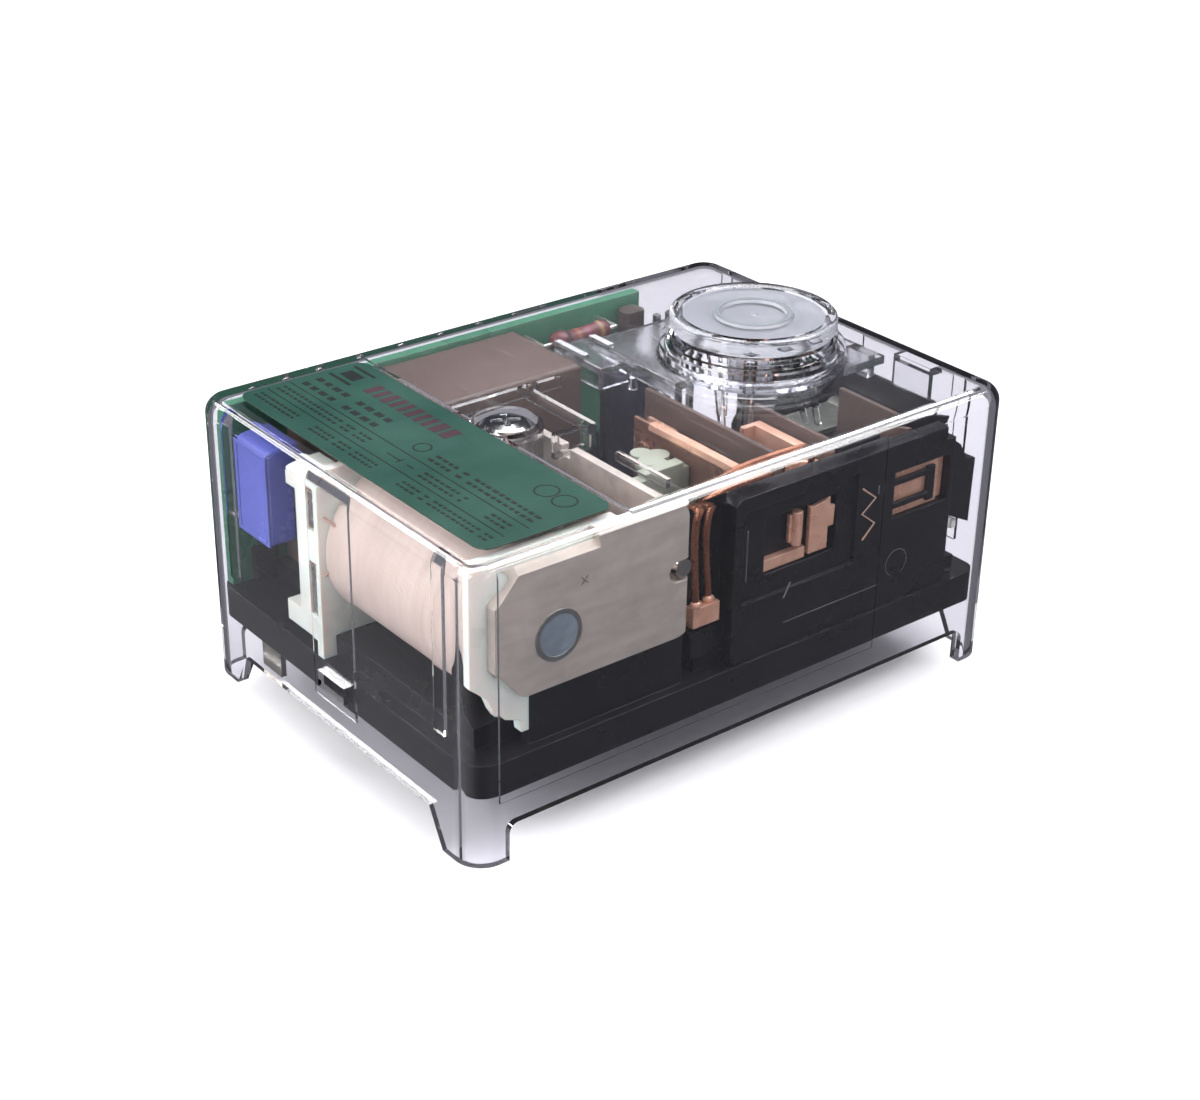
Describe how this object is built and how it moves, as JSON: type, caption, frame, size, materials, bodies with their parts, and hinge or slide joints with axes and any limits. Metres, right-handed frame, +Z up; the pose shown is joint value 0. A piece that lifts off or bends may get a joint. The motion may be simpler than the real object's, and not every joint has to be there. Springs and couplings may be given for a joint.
{
  "type": "burner control relay",
  "caption": "Plug-in burner control relay: clear cover over a coil, contact leaves and circuit board, with a fixing screw and a round reset button.",
  "frame": {"origin": "middle of the underside, on the plane the cover's four feet stand on", "axes": "+X along the long side from the label towards the reset button, +Y across the width away from the contact block, +Z up through the top of the cover"},
  "size_m": [0.091, 0.064, 0.0472],
  "materials": {
    "clear_cover": "clear, polished",
    "label_green": "satin film",
    "clear_guide": "clear",
    "clear_button": "clear, polished",
    "frosted_disc": "frosted",
    "lever_brass": "rolled strip",
    "pin_steel": "ground",
    "screw_zinc": "bright zinc",
    "retainer_nylon": "natural",
    "base_black": "moulded, satin",
    "blade_tin": "tinned",
    "core_iron": "turned, zinc plated",
    "bobbin_natural": "natural, slightly glossy",
    "winding_wire": "wound fine wire under clear tape",
    "yoke_steel": "dull plated",
    "armature_steel": "dull plated",
    "card_pale": "pressed sheet",
    "carrier_black": "moulded, satin",
    "clip_white": "moulded",
    "copper": "bright copper strip",
    "copper_flex": "plaited fine wire",
    "board_green": "solder mask",
    "capacitor_blue": "potted case",
    "lead_tin": "tinned wire",
    "resistor_maroon": "lacquered",
    "package_black": "moulded",
    "sleeve_dark": "shrunk sleeve",
    "block_brown": "moulded",
    "lamp_glass": "clear",
    "diode_glass": "glass bead"
  },
  "bodies": {
    "housing": {"cover": "clear_cover", "label": "label_green", "button_guide": "clear_guide", "base": "base_black", "plug_contacts": "blade_tin", "earth_tab": "blade_tin", "coil_core": "core_iron", "core_stake": "yoke_steel", "coil_bobbin": "bobbin_natural", "coil_winding": "winding_wire", "coil_terminals": "blade_tin", "yoke": "yoke_steel", "yoke_pin": "pin_steel", "contact_carrier": "carrier_black", "carrier_clip": "clip_white", "leaf_clamps": "copper", "fixed_contacts": "copper", "contact_bar": "copper", "window_coppers": "copper", "flex_leads": "copper_flex", "circuit_board": "board_green", "box_capacitor": "capacitor_blue", "capacitor_leads": "lead_tin", "resistor": "resistor_maroon", "resistor_leads": "lead_tin", "transistor": "package_black", "board_diodes": "diode_glass", "board_pins": "lead_tin", "electrolytic": "sleeve_dark", "timing_block": "block_brown", "glow_lamp": "lamp_glass", "lamp_holder": "package_black", "lever_pin": "pin_steel", "partition_sheets": "block_brown", "end_sheet": "carrier_black"},
    "button": {"reset_button": "clear_button", "button_disc": "frosted_disc"},
    "release_lever": {"reset_lever": "lever_brass"},
    "screw": {"fixing_screw": "screw_zinc", "screw_retainer": "retainer_nylon"},
    "armature_body": {"armature": "armature_steel"},
    "card": {"pusher_card": "card_pale"},
    "leaf_one": {"moving_leaf_one": "copper"},
    "leaf_two": {"moving_leaf_two": "copper"}
  },
  "joints": [
    {"name": "reset_press", "type": "slide", "parent": "housing", "child": "button", "axis": [0, 0, -1], "range_m": [0, 0.002], "stiffness_N_per_m": 400, "springref_m": -0.002},
    {"name": "lever_release", "type": "hinge", "parent": "housing", "child": "release_lever", "pos_m": [0.0403, 0, 0.029], "axis": [0, -1, 0], "range_deg": [0, 14], "stiffness_Nm_per_rad": 0.004, "springref_deg": -2.86},
    {"name": "screw_turn", "type": "hinge", "parent": "housing", "child": "screw", "pos_m": [-0.0171, 0, 0.04], "axis": [0, 0, 1], "continuous": true},
    {"name": "armature_pull", "type": "hinge", "parent": "housing", "child": "armature_body", "pos_m": [-0.0104, 0.0088, 0.028], "axis": [0, 0, 1], "range_deg": [0, 1.9], "stiffness_Nm_per_rad": 0.05, "springref_deg": -2.86},
    {"name": "card_push", "type": "slide", "parent": "housing", "child": "card", "axis": [1, 0, 0], "range_m": [0, 0.00066]},
    {"name": "leaf_one_bend", "type": "hinge", "parent": "housing", "child": "leaf_one", "pos_m": [0.00655, -0.0242, 0.03], "axis": [0, 0, -1], "range_deg": [0, 2.8], "stiffness_Nm_per_rad": 0.02, "springref_deg": -1.15},
    {"name": "leaf_two_bend", "type": "hinge", "parent": "housing", "child": "leaf_two", "pos_m": [0.013, -0.0242, 0.028], "axis": [0, 0, -1], "range_deg": [0, 2.8], "stiffness_Nm_per_rad": 0.02, "springref_deg": -1.15}
  ],
  "couplings": [
    {"joint": "lever_release", "follows": "reset_press", "rad_per_m": 122.17},
    {"joint": "card_push", "follows": "armature_pull", "m_per_rad": 0.0196},
    {"joint": "leaf_one_bend", "follows": "armature_pull", "ratio": 1.45},
    {"joint": "leaf_two_bend", "follows": "armature_pull", "ratio": 1.45}
  ]
}
